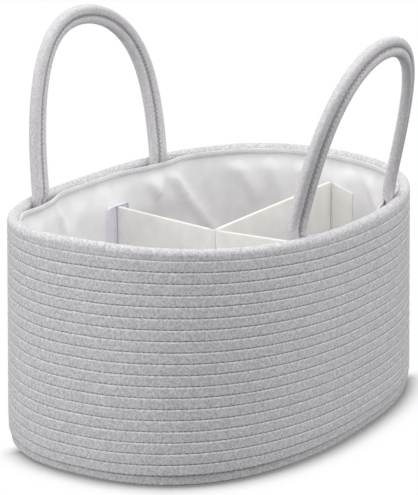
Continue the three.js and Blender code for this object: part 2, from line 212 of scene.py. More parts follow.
# The square lamps: each one's place, size in metres and watts. All point at the caddy's middle.
middle_of_caddy = Vector((0, 0, 0.1))
softboxes = {
    "top softbox": ((-0.2, -0.2, 1.9), 1.4, 18),
    "left softbox": ((-1.6, 1.1, 0.3), 1.2, 16),
    "near softbox": ((1.0, -1.9, 0.6), 1.4, 11.5),
}
for name, (place, size, watts) in softboxes.items():
    lamp_data = bpy.data.lights.new(name, "AREA")
    lamp_data.shape = "SQUARE"
    lamp_data.size = size
    lamp_data.energy = watts
    lamp = bpy.data.objects.new(name, lamp_data)
    lamp.location = place
    lamp.rotation_euler = (middle_of_caddy - Vector(place)).to_track_quat("-Z", "Y").to_euler()
    bpy.context.scene.collection.objects.link(lamp)

# Basket wall: one long cotton rope in a knitted heather-grey sleeve, wound in 21 rows that are
# sewn to each other. The lowest row curls under, and the two ends are shaved off and tucked in.
mm = 0.001
basket_height = 178 * mm
row_count = 21
row_pitch = basket_height / row_count
rim_half_length = 187.5 * mm
rim_half_width = 131.3 * mm
oval_power = 2.49
base_longer_share = 0.042
base_wider_share = 0.0135
under_tuck = 4.5 * mm
tucked_height = 2 * row_pitch
rim_rise_evenly = 1.4 * mm
rim_rise_far_end = 2.0 * mm
rim_rise_left = 2.9 * mm
rim_rise_ends = 3.4 * mm
rim_rise_diagonal = 0.9 * mm
climb_start = 2 / 24
climb_end = 5 / 24
rope_half_width = 4.5 * mm
row_press = 0.8 * mm
row_sags = ((0.483, 0.056, 3.0), (0.806, 0.1, 5.0))
sag_power = 8
rope_steps = 216
climb_share_before = 0.8
thinnest_rope = 0.5 * mm
ground_gap = 0.3 * mm
measuring_steps = 7200
lower_corner_share = 0.4
upper_corner_share = 0.26
rim_corner_share = 0.9
corner_steps = 3
flat_margin_share = 0.12
end_taper = 5 * mm


def signed_power(value, power):
    """The value's size to a power, with its sign kept."""
    return np.sign(value) * np.abs(value) ** power


def oval(round_share, up_share):
    """Points x, y of the rope's centre line and the way out of the wall, at shares round and up."""
    c = np.cos(2 * np.pi * np.asarray(round_share))
    s = np.sin(2 * np.pi * np.asarray(round_share))
    half_length = rim_half_length * (1 + base_longer_share * (1 - up_share))
    half_width = rim_half_width * (1 + base_wider_share * (1 - up_share))
    x = half_length * signed_power(c, 2 / oval_power)
    y = half_width * signed_power(s, 2 / oval_power)
    out_x = signed_power(x / half_length, oval_power - 1) / half_length
    out_y = signed_power(y / half_width, oval_power - 1) / half_width
    out = np.stack([out_x, out_y], -1)
    return np.stack([x, y], -1), out / np.linalg.norm(out, axis=-1, keepdims=True)


def rim_top(round_share):
    """How high the soft, uneven rim stands there."""
    place, _ = oval(round_share, 1.0)
    angle = np.arctan2(place[..., 1] / rim_half_width, place[..., 0] / rim_half_length)
    once = rim_rise_far_end * np.cos(angle) + rim_rise_left * np.sin(angle)
    twice = rim_rise_ends * np.cos(2 * angle) + rim_rise_diagonal * np.sin(2 * angle)
    return basket_height + rim_rise_evenly + once + twice


def in_wall(round_share, z, depth):
    """Points x, y at a depth inside the rope's centre line, at a height z."""
    up_share = np.clip(np.asarray(z) / basket_height, 0, 1)
    place, out = oval(round_share, up_share)
    tuck = under_tuck * np.maximum(0, 1 - np.asarray(z) / tucked_height) ** 2
    return place - out * np.asarray(depth + tuck)[..., None]


def even_shares(count):
    """Shares of the way round that lie evenly along the rim."""
    fine = np.linspace(0, 1, measuring_steps + 1)
    place, _ = oval(fine, 1.0)
    length = np.concatenate([[0], np.cumsum(np.linalg.norm(np.diff(place, axis=0), axis=1))])
    return np.interp(np.linspace(0, length[-1], count + 1)[:-1], length, fine)


def new_piece(name, points, faces, uvs=None):
    """A smooth piece from points and faces, which all turn outwards. It is left selected."""
    mesh = bpy.data.meshes.new(name)
    mesh.from_pydata(points, [], faces)
    if uvs is not None:
        layer = mesh.uv_layers.new(name="along the piece")
        layer.data.foreach_set("uv", uvs.astype(np.float32).ravel())
        mesh.validate()
    piece = bpy.data.objects.new(name, mesh)
    bpy.context.scene.collection.objects.link(piece)
    bpy.ops.object.select_all(action="DESELECT")
    piece.select_set(True)
    bpy.context.view_layer.objects.active = piece
    bpy.ops.object.mode_set(mode="EDIT")
    bpy.ops.mesh.select_all(action="SELECT")
    bpy.ops.mesh.normals_make_consistent(inside=False)
    bpy.ops.object.mode_set(mode="OBJECT")
    bpy.ops.object.shade_smooth()
    return piece


def mesh_from_rings(name, rings, along, joined=False):
    """A tube mesh from rings of points, with a UV map in metres along and around it."""
    rings = np.asarray(rings, dtype=float)
    count, sides = rings.shape[:2]
    index = np.arange(count * sides).reshape(count, sides)
    step = np.linalg.norm(rings - np.roll(rings, -1, axis=1), axis=2)
    around = np.cumsum(np.concatenate([np.zeros((count, 1)), step], axis=1), axis=1)
    around -= step.sum(axis=1, keepdims=True) / 2
    last = count if joined else count - 1
    here = np.arange(last)
    after = (here + 1) % count
    faces = []
    uvs = []
    for j in range(sides):
        k = (j + 1) % sides
        corners = [index[here, j], index[here, k], index[after, k], index[after, j]]
        faces.append(np.stack(corners, -1))
        across = [around[here, j], around[here, j + 1], around[after, j + 1], around[after, j]]
        lengthways = [along[here], along[here], along[here + 1], along[here + 1]]
        uvs.append(np.stack([np.stack(lengthways, -1), np.stack(across, -1)], -1))
    faces = np.concatenate(faces).tolist()
    uvs = np.concatenate(uvs).reshape(-1, 2)
    if not joined:
        faces.append(index[0, ::-1].tolist())
        faces.append(index[-1].tolist())
        ends = np.zeros((2 * sides, 2))
        ends[:sides, 0] = along[0]
        ends[sides:, 0] = along[-1]
        uvs = np.concatenate([uvs, ends])
    return new_piece(name, rings.reshape(-1, 3).tolist(), faces, uvs)


def smooth(share):
    """A step from 0 to 1 that starts and ends level."""
    share = np.clip(share, 0, 1)
    return share * share * (3 - 2 * share)


def lengths_along(points, joined=False):
    """The distance along a row of points, from its first, and back to it where they join up."""
    if joined:
        points = np.concatenate([points, points[:1]])
    steps = np.linalg.norm(np.diff(points, axis=0), axis=1)
    return np.concatenate([[0], np.cumsum(steps)])


def row_edge(turn, round_share):
    """How high the line under the rope's turn of that number lies. The rows sag in two places."""
    share_up = np.clip(turn / row_count, 0, 1)
    fade = (1 - (2 * share_up - 1) ** sag_power) * mm
    sag = sum(depth * np.exp(-((round_share - at) / wide) ** 2) for at, wide, depth in row_sags)
    return rim_top(round_share) * turn / row_count - sag * fade


def rope_section(upper_share):
    """Points round a rope pressed nearly square, from the middle of its inner side down and
    round, as shares of its half width and half height. Its upper corners have their own size.
    """
    points = [(-1.0, 0.0)]
    corner_shares = {2: lower_corner_share, 3: lower_corner_share, 0: upper_share, 1: upper_share}
    for quarter, share in corner_shares.items():
        middle_x = (1 - share) * (1 if quarter in (0, 3) else -1)
        middle_z = (1 - share) * (1 if quarter < 2 else -1)
        if quarter == 0:
            points.append((1.0, lower_corner_share - 1 + flat_margin_share))
            points.append((1.0, 1 - upper_share - flat_margin_share))
        for k in range(corner_steps + 1):
            angle = math.pi / 2 * (quarter + k / corner_steps)
            points.append((middle_x + share * math.cos(angle), middle_z + share * math.sin(angle)))
    return points


# Where the rope's middle lies at each step, which row it is in, and how tall it is there.
shares = even_shares(rope_steps)
climb_first = int(np.argmax(shares >= climb_start))
climb_last = int(np.argmax(shares >= climb_end))
climb_count = climb_last - climb_first
steps_before = int(climb_share_before * climb_count)
steps = np.arange(-steps_before, row_count * rope_steps - (climb_count - steps_before) + 1)
wound = np.ceil(steps / rope_steps) - 1
since_level = steps - wound * rope_steps
climb = smooth((since_level - (rope_steps - climb_count)) / climb_count)
round_share = shares[(steps + climb_last) % rope_steps]
low = np.maximum(row_edge(wound + climb, round_share) - row_press / 2, ground_gap)
high = np.minimum(row_edge(wound + climb + 1, round_share) + row_press / 2, rim_top(round_share))
at_rim = high > rim_top(round_share) - row_press
keep = high - low > thinnest_rope
round_share, low, high, at_rim = round_share[keep], low[keep], high[keep], at_rim[keep]
rope_middle = (low + high) / 2
rope_half = (high - low) / 2
seat = np.maximum(rope_middle, row_pitch / 2)
rope_width = rope_half_width * np.minimum(1, np.sqrt((high - low) / end_taper))

rings = []
for row_point, rim_point in zip(rope_section(upper_corner_share), rope_section(rim_corner_share)):
    reach = rope_width * np.where(at_rim, rim_point[0], row_point[0])
    rise = np.where(at_rim, rim_point[1], row_point[1])
    place = in_wall(round_share, seat, -reach)
    rings.append(np.concatenate([place, (rope_middle + rise * rope_half)[:, None]], axis=1))
rings = np.stack(rings, axis=1)
rope_line = np.column_stack([in_wall(round_share, seat, 0), rope_middle])
wall = mesh_from_rings("wall_rope_sleeve", rings, lengths_along(rope_line))

# Knitted cotton sleeve: spun yarn, machine knitted. The eye gets a dull heather grey, speckled by
# the mixed yarns, with a faint V grain and no gleam. The stitches are drawn larger than real ones,
# which are too fine to show.
fleck_size = 0.6 * mm
column_width = 1.3 * mm
stitch_rise = 0.95 * mm
needle_pitch = 4.2 * mm
needle_line = 3.95 * mm
needle_hole = 0.8 * mm
# Painted shade: dark dots in the needle holes and a soft dark line along the seam's groove.
painted_seam_shade_width = 0.9 * mm
wall_painted_shade_share = 0.7
hole_core_share = 0.3
yarn_share = 0.9
stitch_share = 0.1
darkest_yarn = 0.4
lightest_yarn = 1.4
hole_depth_share = 1.2
knit_bump = 0.5 * mm


def knitted_sleeve(name, colours, hole_line, hole_pitch, shade_share, both_sides):
    """Heather-grey knitted cotton, with painted shade in its needle holes and along the seam."""
    material, tree = new_material(name)
    dark, light, hole_and_seam_shade_colour = colours
    place = add_node(tree, "TexCoord").outputs["Object"]
    uv = add_node(tree, "UVMap", {"uv_map": "along the piece"})
    parts = add_node(tree, "SeparateXYZ", {"Vector": uv}).outputs
    grain = add_node(tree, "TexNoise", {
        "Vector": place, "Scale": 1 / fleck_size, "Detail": 1.0, "Roughness": 0.5,
    })
    leg = add_math(tree, "PINGPONG", parts["Y"], column_width / 2)
    slant = add_math(tree, "ADD", parts["X"], leg)
    stitch = add_math(tree, "SINE", add_math(tree, "MULTIPLY", slant, 2 * math.pi / stitch_rise))
    stitch_place = add_node(tree, "CombineXYZ", {"X": slant, "Y": parts["Y"]})
    stitch_size = add_node(tree, "VectorMath", {
        "operation": "MULTIPLY", 0: stitch_place, 1: (1 / stitch_rise, 1 / column_width, 0),
    })
    yarn = add_node(
        tree, "TexVoronoi", {"voronoi_dimensions": "2D", "Vector": stitch_size, "Scale": 1.0},
    )
    yarn_shade = add_node(tree, "SeparateColor", {0: yarn.outputs["Color"]})
    speck = add_math(tree, "MULTIPLY_ADD", yarn_shade, yarn_share, grain)
    knit = add_math(tree, "MULTIPLY_ADD", stitch, stitch_share, speck)
    mixed = add_node(
        tree, "MapRange", {"Value": knit, "From Min": darkest_yarn, "From Max": lightest_yarn},
    )
    yarn_colour = add_ramp(tree, mixed, (dark, light))
    # Painted shade: dark dots at the needle holes, in a row beside the seam.
    shifted = add_math(tree, "PINGPONG", parts["X"], hole_pitch / 2)
    across = add_math(tree, "ABSOLUTE" if both_sides else "MULTIPLY", parts["Y"], -1.0)
    off_line = add_math(tree, "SUBTRACT", across, hole_line)
    spot = add_node(tree, "CombineXYZ", {"X": shifted, "Y": off_line})
    away = add_node(tree, "VectorMath", {"operation": "LENGTH", 0: spot})
    hole = add_node(tree, "MapRange", {
        "Value": away.outputs["Value"],
        "From Min": hole_core_share * needle_hole, "From Max": needle_hole,
    })
    # Painted shade: a soft dark line along the seam, darkening the colour down to the shade share.
    from_line = add_math(tree, "ABSOLUTE", off_line)
    shade = add_node(
        tree, "MapRange", {"Value": from_line, "From Max": painted_seam_shade_width, "To Min": shade_share},
    )
    darker = add_math(tree, "MULTIPLY", hole, shade)
    colour = add_node(
        tree, "Mix", {"data_type": "RGBA", 0: darker, 6: linear(hole_and_seam_shade_colour), 7: yarn_colour},
    )
    height = add_math(tree, "MULTIPLY_ADD", hole, hole_depth_share, knit)
    add_surface(
        tree, colour.outputs[2], height, knit_bump,
        roughness=0.95, gleam=0.2, sheen=0.15, sheen_roughness=0.6,
    )
    return material


# Colours: dark yarn, light yarn, and the painted shade in the needle holes and along the seam.
knitted_cotton = knitted_sleeve(
    "knitted cotton rope sleeve", ("#bfbdc0", "#ebe9ec", "#6c6a6d"),
    needle_line, needle_pitch, wall_painted_shade_share, both_sides=False,
)
wall.data.materials.append(knitted_cotton)
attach(wall, "basket")
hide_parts("wall_rope")

# Base: the same rope, coiled flat. It starts straight along the middle, goes round itself
# until it meets the wall, and each turn is sewn to the one before it.
base_rope_half_width = 4.15 * mm
base_height = 8.2 * mm
base_clearance = 0.35 * mm
base_turns = 13.9
base_gap = 0.15 * mm
base_steps_per_turn = 72
base_sides = 10
base_squareness = 5.2


def pressed_round(angle, squareness):
    """A point on a circle of radius 1 that is pressed towards a square."""
    across = signed_power(math.cos(angle), 2 / squareness)
    return across, signed_power(math.sin(angle), 2 / squareness)


def unit(rows):
    """Directions brought to length 1."""
    return rows / np.linalg.norm(rows, axis=1, keepdims=True)


def tube_along(name, line, across, rise, sides, squareness, start=0):
    """A tube along a line, from how far it reaches across and up, pressed towards a square."""
    rings = []
    for j in range(sides):
        across_share, rise_share = pressed_round(2 * np.pi * j / sides + start, squareness)
        rings.append(line + across * across_share + rise * rise_share)
    return mesh_from_rings(name, np.stack(rings, axis=1), lengths_along(line))


turns = np.linspace(0, base_turns, int(base_turns * base_steps_per_turn) + 1)
tuck_at_row = under_tuck * (1 - row_pitch / 2 / tucked_height) ** 2
first_inset = tuck_at_row + rope_half_width + base_clearance + base_rope_half_width
coil_inset = first_inset + (2 * base_rope_half_width + base_gap) * turns
coil_half_length = rim_half_length * (1 + base_longer_share) - coil_inset
coil_half_width = np.maximum(rim_half_width * (1 + base_wider_share) - coil_inset, base_gap)
c = np.cos(2 * np.pi * turns)
s = np.sin(2 * np.pi * turns)
coil_x = coil_half_length * signed_power(c, 2 / oval_power)
coil_y = coil_half_width * signed_power(s, 2 / oval_power)
coil = np.column_stack([coil_x, coil_y, np.full(len(turns), base_height / 2)])
ahead = unit(np.gradient(coil, axis=0))
aside = np.column_stack([ahead[:, 1], -ahead[:, 0], 0 * turns])
base_coil = tube_along(
    "base_coil", coil, aside * base_rope_half_width, np.array([0, 0, base_height / 2]),
    base_sides, base_squareness, start=np.pi / 2,
)
base_coil.data.materials.append(knitted_cotton)
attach(base_coil, "basket")
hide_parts("base")

# Handles: each is two ropes side by side in the same knitted sleeve, zigzagged together along
# both faces. Its feet go down between the wall and the lining, and it bends above the rim.
foot_length = 41 * mm
foot_steps = 9
arch_steps = 110
handle_sides = 20
handle_squareness = 2.8
foot_bend = 6.5 * mm
foot_straight = 3 * mm
wall_turn_at_feet = math.radians(-14)
turn_depth = 12 * mm
bend_reach = 11 * mm
handle_hinges = {}
for joint in frame["joints"]:
    if joint["child"] in ("left_handle", "right_handle"):
        handle_hinges[joint["child"]] = joint["pos_m"]
# Each arch, in mm and degrees: where it stands, its span and height, how far its top shifts and
# its shoulders stand out, its lean, the turn of the rope pair at each end, and the rope itself.
handle_shapes = {
    "left": {
        "side": 1, "middle": -1.1, "half_span": 86.9, "rise": 132.6, "power": 2.08,
        "shift": -9.6, "shift_power": 4.8, "shoulders": 14.6, "lean": 4.4,
        "front_turn": 1, "back_turn": -33, "back_foot_along": 0,
        "rope_radius": 4.3, "rope_offset": 3.7, "pocket": 7.4,
    },
    "right": {
        "side": -1, "middle": 2.6, "half_span": 77.0, "rise": 131.3, "power": 2.08,
        "shift": 7.8, "shift_power": 3.2, "shoulders": 16.9, "lean": 14.2,
        "front_turn": -27, "back_turn": -12, "back_foot_along": 3.5,
        "rope_radius": 4.1, "rope_offset": 3.7, "pocket": 6.5,
    },
}
foot_outward = 0.7 * mm
foot_press = 2.2 * mm
foot_flatness = 0.8
foot_fade_power = 3


def square_to(rows, ahead):
    """Directions turned square to the way ahead, at length 1."""
    return unit(rows - ahead * (rows * ahead).sum(axis=1, keepdims=True))


def handle_frame(shape, hinge):
    """The handle's middle line from foot to foot, the ways across the rope pair and out of it,
    and how thick the ropes are there, as a share.
    """
    shares = np.linspace(0, 1, arch_steps + 1)
    angles = np.pi * (1 - shares)
    ups = np.abs(np.sin(angles)) ** (2 / shape["power"])
    across = signed_power(np.cos(angles), 2 / shape["power"])
    half_span = shape["half_span"] + shape["shoulders"] * ups ** 2
    at_back_foot = np.where(shares > 0.5, (1 - ups) ** foot_fade_power, 0)
    shift = shape["shift"] * ups ** shape["shift_power"] + shape["back_foot_along"] * at_back_foot
    x = (shape["middle"] + half_span * across + shift) * mm
    up = shape["rise"] * ups * mm
    down = np.linspace(-foot_length, 0, foot_steps + 1)[:-1]
    x = np.concatenate([np.full(foot_steps, x[0]), x, np.full(foot_steps, x[-1])])
    up = np.concatenate([down, up, down[::-1]])
    share = np.concatenate([np.zeros(foot_steps), shares, np.ones(foot_steps)])
    lean = math.radians(shape["lean"])
    eased = np.clip((up + bend_reach) / (2 * bend_reach), 0, 1)
    leaning_up = np.where(up < bend_reach, bend_reach * eased ** 2, up)
    sewn_in = smooth(-(up + foot_straight) / foot_bend)
    outward = foot_outward + foot_press * sewn_in + leaning_up * math.sin(lean)
    y = shape["side"] * (abs(hinge[1]) + outward)
    z = hinge[2] + up - leaning_up * (1 - math.cos(lean))
    middle = np.stack([x, y, z], axis=1)
    ahead = unit(np.gradient(middle, axis=0))
    plane_lean = lean * eased
    out = np.column_stack([0 * x, shape["side"] * np.cos(plane_lean), -np.sin(plane_lean)])
    out = square_to(out, ahead)
    aside = np.cross(ahead, out) * shape["side"]
    over_rim = np.clip(1 + up / turn_depth, 0, 1)
    end_turns = np.radians(shape["front_turn"] * (1 - share) + shape["back_turn"] * share)
    turned = (wall_turn_at_feet * (1 - over_rim) + end_turns * over_rim)[:, None]
    pair = aside * np.cos(turned) + out * np.sin(turned)
    face = out * np.cos(turned) - aside * np.sin(turned)
    return middle, pair, face, (1 - (1 - foot_flatness) * sewn_in)[:, None]


groove_line = 4.6 * mm
zigzag_pitch = 3.9 * mm
zigzag_below = 0.55 * mm
zigzag_reach = 2.4 * mm
zigzag_radius = 0.38 * mm
zigzag_sides = 5
thread_squareness = 2
handle_painted_shade_share = 0.93
ply_size = 0.7 * mm
ply_bump = 0.2 * mm
# Colours: dark yarn, light yarn, and the painted shade in the needle holes and along the seam.
handle_cotton = knitted_sleeve(
    "knitted cotton handle sleeve", ("#c8c6c9", "#e2e0e3", "#918f92"),
    groove_line, zigzag_pitch, handle_painted_shade_share, both_sides=True,
)

# Seam thread: twisted cotton. It gives a dull mid grey, a little mottled by its plies.
seam_thread, tree = new_material("grey cotton seam thread")
place = add_node(tree, "TexCoord").outputs["Object"]
ply = add_node(tree, "TexNoise", {"Vector": place, "Scale": 1 / ply_size, "Detail": 1.0})
thread_colour = add_ramp(tree, ply, ("#b2b0b3", "#cecccf"), (0.35, 0.7))
add_surface(tree, thread_colour, ply, ply_bump, roughness=0.85, gleam=0.25)


def at_stops(rows, along, stops):
    """The rows of points or directions, read at stops along the line."""
    return np.stack([np.interp(stops, along, rows[:, k]) for k in range(3)], axis=1)


handle_lines = {}
for name, shape in handle_shapes.items():
    hinge = handle_hinges[f"{name}_handle"]
    middle, pair, face, thickness = handle_frame(shape, hinge)
    rope_radius = shape["rope_radius"] * mm
    handle_lines[name] = middle
    pieces = []
    for rope_name, way in (("outer", 1), ("inner", -1)):
        centre = middle + pair * way * shape["rope_offset"] * mm
        rope = tube_along(
            f"{name}_handle_{rope_name}_sleeve", centre, rope_radius * pair,
            rope_radius * face * thickness, handle_sides, handle_squareness,
            start=0 if way > 0 else np.pi,
        )
        rope.data.materials.append(handle_cotton)
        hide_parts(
            f"{name}_handle_{rope_name}_rope",
            f"{name}_handle_front_foot_{rope_name}", f"{name}_handle_back_foot_{rope_name}",
        )
        pieces.append(rope)
    along = lengths_along(middle)
    half_pitches = np.arange(int(along[-1] / (zigzag_pitch / 2)))
    stops = (half_pitches + 0.5) * zigzag_pitch / 2
    zig = np.where(half_pitches % 2 == 0, 1.0, -1.0)[:, None] * zigzag_reach
    for face_name, way in (("outside", 1), ("inside", -1)):
        line = at_stops(middle, along, stops) + at_stops(pair, along, stops) * zig
        line += at_stops(face * thickness, along, stops) * way * (rope_radius - zigzag_below)
        line_ahead = unit(np.gradient(line, axis=0))
        line_out = square_to(at_stops(face, along, stops), line_ahead)
        line_side = np.cross(line_ahead, line_out)
        thread = tube_along(
            f"{name}_handle_zigzag_{face_name}", line, zigzag_radius * line_out,
            zigzag_radius * line_side, zigzag_sides, thread_squareness,
        )
        thread.data.materials.append(seam_thread)
        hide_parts(f"{name}_handle_seam_{face_name}")
        pieces.append(thread)
    for piece in pieces:
        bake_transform(piece)

# Lining: one strip of white cotton, sewn into a ring and hung inside the wall from its
# turned-over top. It passes inside the handles' feet, which pulls it into soft folds.
lining_outer = 4.9 * mm
cloth_thickness = 0.9 * mm
lining_bottom = 8.6 * mm
rim_showing = 3.8 * mm
pocket_flat = 9 * mm
pocket_ramp_inward = 40 * mm
pocket_ramp_outward = 30 * mm
pocket_length = 46 * mm
lining_columns = 360
lining_rows = 44
girth = 1010 * mm
fold_roundness = 1.4
fold_fade_share = 0.35
held_fold_share = 0.1
broad_wave = 1.8 * mm
broad_wave_scale = 3.4
broad_wave_rise = 9
broad_wave_lift = 0.6
gather = 1.3 * mm
gather_scale = 15
gather_rise = 6
gather_lift = 0.5
gather_reach = 45 * mm
pocket_fade_low = 12 * mm
pocket_fade = 24 * mm
flat_below_hem = 7 * mm
hem_fade = 12 * mm
bottom_fade = 22 * mm

# Each fold: share round and height of its two ends, its width and how far it stands in, in mm.
lining_folds = {
    "far left diagonal": ((0.176, 171), (0.117, 104), 7, 5.5),
    "hung tip, left leg": ((0.203, 172), (0.191, 151), 6, 5.5),
    "hung tip, right leg": ((0.186, 174), (0.190, 151), 5, 4.5),
    "front left": ((0.292, 168), (0.276, 138), 6, 5.0),
    "front left low": ((0.262, 150), (0.274, 120), 10, 3.5),
    "front end pucker": ((0.345, 170), (0.335, 152), 7, 5.0),
    "front end": ((0.42, 168), (0.43, 110), 14, 5.0),
    "front end low": ((0.50, 150), (0.47, 60), 20, 5.5),
    "front right": ((0.58, 165), (0.56, 100), 13, 5.0),
    "near side": ((0.66, 160), (0.68, 90), 14, 4.0),
    "near far": ((0.86, 168), (0.85, 90), 13, 5.0),
    "far middle bright": ((0.088, 165), (0.068, 141), 10, 5.0),
    "far middle": ((0.050, 172), (0.028, 120), 11, 4.5),
    "far end ridge": ((0.016, 172), (0.014, 110), 6, 4.5),
    "far right edge": ((-0.030, 173), (-0.028, 128), 8, 5.0),
    "far right diagonal": ((-0.046, 174), (-0.074, 142), 8, 5.5),
    "far low sag": ((0.09, 80), (0.03, 60), 20, 5.5),
}


def pocket(round_share):
    """How far in the lining passes the handles' feet, at a share of the way round."""
    place, _ = oval(round_share, 1.0)
    reach = np.zeros(len(place))
    for name, line in handle_lines.items():
        on_side = place[:, 1] * handle_shapes[name]["side"] > 0
        deepest = handle_shapes[name]["pocket"] * mm
        for foot_x in (line[0, 0], line[-1, 0]):
            away = np.abs(place[:, 0] - foot_x) - pocket_flat
            inward = (foot_x - place[:, 0]) * np.sign(foot_x) > 0
            ramp = np.where(inward, pocket_ramp_inward, pocket_ramp_outward)
            reach = np.maximum(reach, np.where(on_side, deepest * smooth(1 - away / ramp), 0))
    return reach


def fold_depth(round_share, z):
    """How far the lining's folds stand in from the wall there."""
    depth = np.zeros(len(round_share))
    for (start_share, start_z), (end_share, end_z), width, height in lining_folds.values():
        start_at = np.array([start_share * girth, start_z * mm])
        end_at = np.array([end_share * girth, end_z * mm])
        line = end_at - start_at
        wrapped = (round_share - start_share + 0.5) % 1.0 - 0.5 + start_share
        spot = np.stack([wrapped * girth, z], axis=1) - start_at
        along = np.clip(spot @ line / (line @ line), 0, 1)
        away = np.linalg.norm(spot - along[:, None] * line, axis=1) / (width * mm)
        fade = 1 - fold_fade_share * along
        depth += height * mm * fade * np.exp(-away ** 2 * fold_roundness)
    return depth


# The two hook tabs and the end flap hold the lining to themselves: the axis that each lies
# across, where its outer face is, the spot at its middle, its half length and its top.
holders = []
for node, axis in (
    ("divider_left_hook_tab", 1), ("divider_right_hook_tab", 1), ("divider_end_flap", 0),
):
    low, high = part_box(node)
    face_at = high[axis] if high[axis] > -low[axis] else low[axis]
    other = 1 - axis
    holders.append((
        axis, face_at, (high[other] + low[other]) / 2, (high[other] - low[other]) / 2, high[2],
    ))
flap_slant = 0.11
hold_gap = 0.35 * mm
hold_ramp = 26 * mm
hold_fade = 16 * mm


def held_in(place, z):
    """How much farther in the divider's tabs and flap hold the lining, and how firmly."""
    deeper = np.zeros(len(z))
    firmness = np.zeros(len(z))
    for axis, face, middle_spot, half_length, top in holders:
        along = place[:, 1 - axis] - middle_spot
        slant = 0 if axis else flap_slant * (along - half_length)
        gap = place[:, axis] * np.sign(face) - (abs(face) + hold_gap + slant)
        near = smooth(1 - (np.abs(along) - half_length) / hold_ramp)
        near = near * smooth((top + hold_fade - z) / hold_fade)
        near = np.where(place[:, axis] * face > 0, near, 0)
        deeper = np.maximum(deeper, near * gap)
        firmness = np.maximum(firmness, near)
    return deeper, firmness


def noise_round(share, scale, height):
    """Smooth noise that joins up round the caddy."""
    angle = 2 * math.pi * share
    return noise.noise(Vector((math.cos(angle) * scale, math.sin(angle) * scale, height)))


lining_shares = even_shares(lining_columns)
heights = np.linspace(0, 1, lining_rows)
rings = []
for share, foot_depth in zip(lining_shares, pocket(lining_shares)):
    top = float(rim_top(share)) - rim_showing
    z = lining_bottom + (top - lining_bottom) * heights
    here = np.full(lining_rows, share)
    in_pocket = foot_depth * smooth((z - top + pocket_length + pocket_fade_low) / pocket_fade)
    soft = smooth((top - z - flat_below_hem) / hem_fade) * smooth((z - lining_bottom) / bottom_fade)
    waves = []
    for up_z in z:
        broad = noise_round(share, broad_wave_scale, up_z * broad_wave_rise) + broad_wave_lift
        fine = noise_round(share, gather_scale, up_z * gather_rise) + gather_lift
        waves.append(broad_wave * broad + gather * fine * math.exp((up_z - top) / gather_reach))
    waves = np.maximum(waves, 0)
    flat_depth = lining_outer + cloth_thickness + in_pocket
    deeper, firmness = held_in(in_wall(here, z, flat_depth), z)
    folds = soft * (1 - (1 - held_fold_share) * firmness) * (waves + fold_depth(here, z))
    outer_depth = lining_outer + in_pocket + deeper + folds
    outside = np.column_stack([in_wall(here, z, outer_depth), z])
    inside = np.column_stack([in_wall(here, z, outer_depth + cloth_thickness), z])
    rings.append(np.concatenate([outside, inside[::-1]]))
rings = np.array(rings)
girth_along = lengths_along(rings[:, -1], joined=True)
lining = mesh_from_rings("lining_wall_cloth", rings, girth_along, joined=True)

# Woven cotton: bleached, plain weave. It gives a soft matt white with a fine over-and-under grain
# and faint slubs. Real threads are 0.4 mm apart, too fine to show, so they are drawn coarser.
lining_thread_spacing = 0.9 * mm
slubs_per_metre = 60
grain_share = 0.7
weave_share = 0.3
weave_bump = 0.25 * mm


def woven_cotton(name, colours, thread_spacing):
    """Plain woven cotton, between a darker and a lighter white."""
    material, tree = new_material(name)
    place = add_node(tree, "TexCoord").outputs["Object"]
    slub = add_node(tree, "TexNoise", {
        "Vector": place, "Scale": slubs_per_metre, "Detail": 3.0, "Roughness": 0.6,
    })
    grain = add_node(
        tree, "TexNoise", {"Vector": place, "Scale": grain_share / thread_spacing, "Detail": 1.0},
    )
    parts = add_node(tree, "SeparateXYZ", {"Vector": place}).outputs
    beside = add_math(tree, "SUBTRACT", parts["X"], parts["Y"])
    threads = []
    for across in (parts["Z"], beside):
        turned = add_math(tree, "MULTIPLY", across, math.pi / thread_spacing)
        threads.append(add_math(tree, "SINE", turned))
    crossed = add_math(tree, "MULTIPLY", *threads)
    woven = add_math(tree, "MULTIPLY_ADD", crossed, weave_share, grain)
    colour = add_ramp(tree, slub, colours, (0.3, 0.7))
    add_surface(
        tree, colour, woven, weave_bump, roughness=0.9, gleam=0.25, strength=0.25, sheen=0.1,
    )
    return material


lining_cotton = woven_cotton(
    "white woven cotton lining", ("#f0eff0", "#f9f8f9"), lining_thread_spacing,
)
lining.data.materials.append(lining_cotton)
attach(lining, "basket")
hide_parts("lining_wall")

# Lining hem: the strip's top is folded over below the rim rope, which gives a narrow welt of
# doubled cloth. Its colour is a greyer white than the lining's: painted shade from the rim above
# it.
hem_outer = 6.2 * mm
hem_half_thickness = 0.4 * mm
hem_half_height = 2.4 * mm
hem_sides = 12
hem_squareness = 2.5
hem_over_lining = 0.2 * mm
hem_ripple = 0.35 * mm
hem_ripple_scale = 12
hem_ripple_seed = 1.7
hem_top = rim_top(lining_shares) - rim_showing + hem_over_lining
hem_pocket = pocket(lining_shares)
hem_wave = np.array([
    noise_round(share, hem_ripple_scale, hem_ripple_seed) for share in lining_shares
]) * hem_ripple
rings = []
for j in range(hem_sides):
    across, rise = pressed_round(2 * np.pi * j / hem_sides, hem_squareness)
    z = hem_top + (rise - 1) * hem_half_height + hem_wave
    depth = hem_outer + (1 - across) * hem_half_thickness + hem_pocket
    rings.append(np.column_stack([in_wall(lining_shares, z, depth), z]))
rings = np.stack(rings, axis=1)
hem_along = lengths_along(rings[:, 0], joined=True)
hem = mesh_from_rings("lining_hem_fold", rings, hem_along, joined=True)
# The hem's whites are greyer than the lining's: painted shade under the rim.
hem_cotton_in_painted_shade = woven_cotton(
    "cotton hem of the lining in painted shade", ("#dcdbdd", "#e8e7e9"), lining_thread_spacing,
)
hem.data.materials.append(hem_cotton_in_painted_shade)
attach(hem, "basket")
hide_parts("lining_hem")
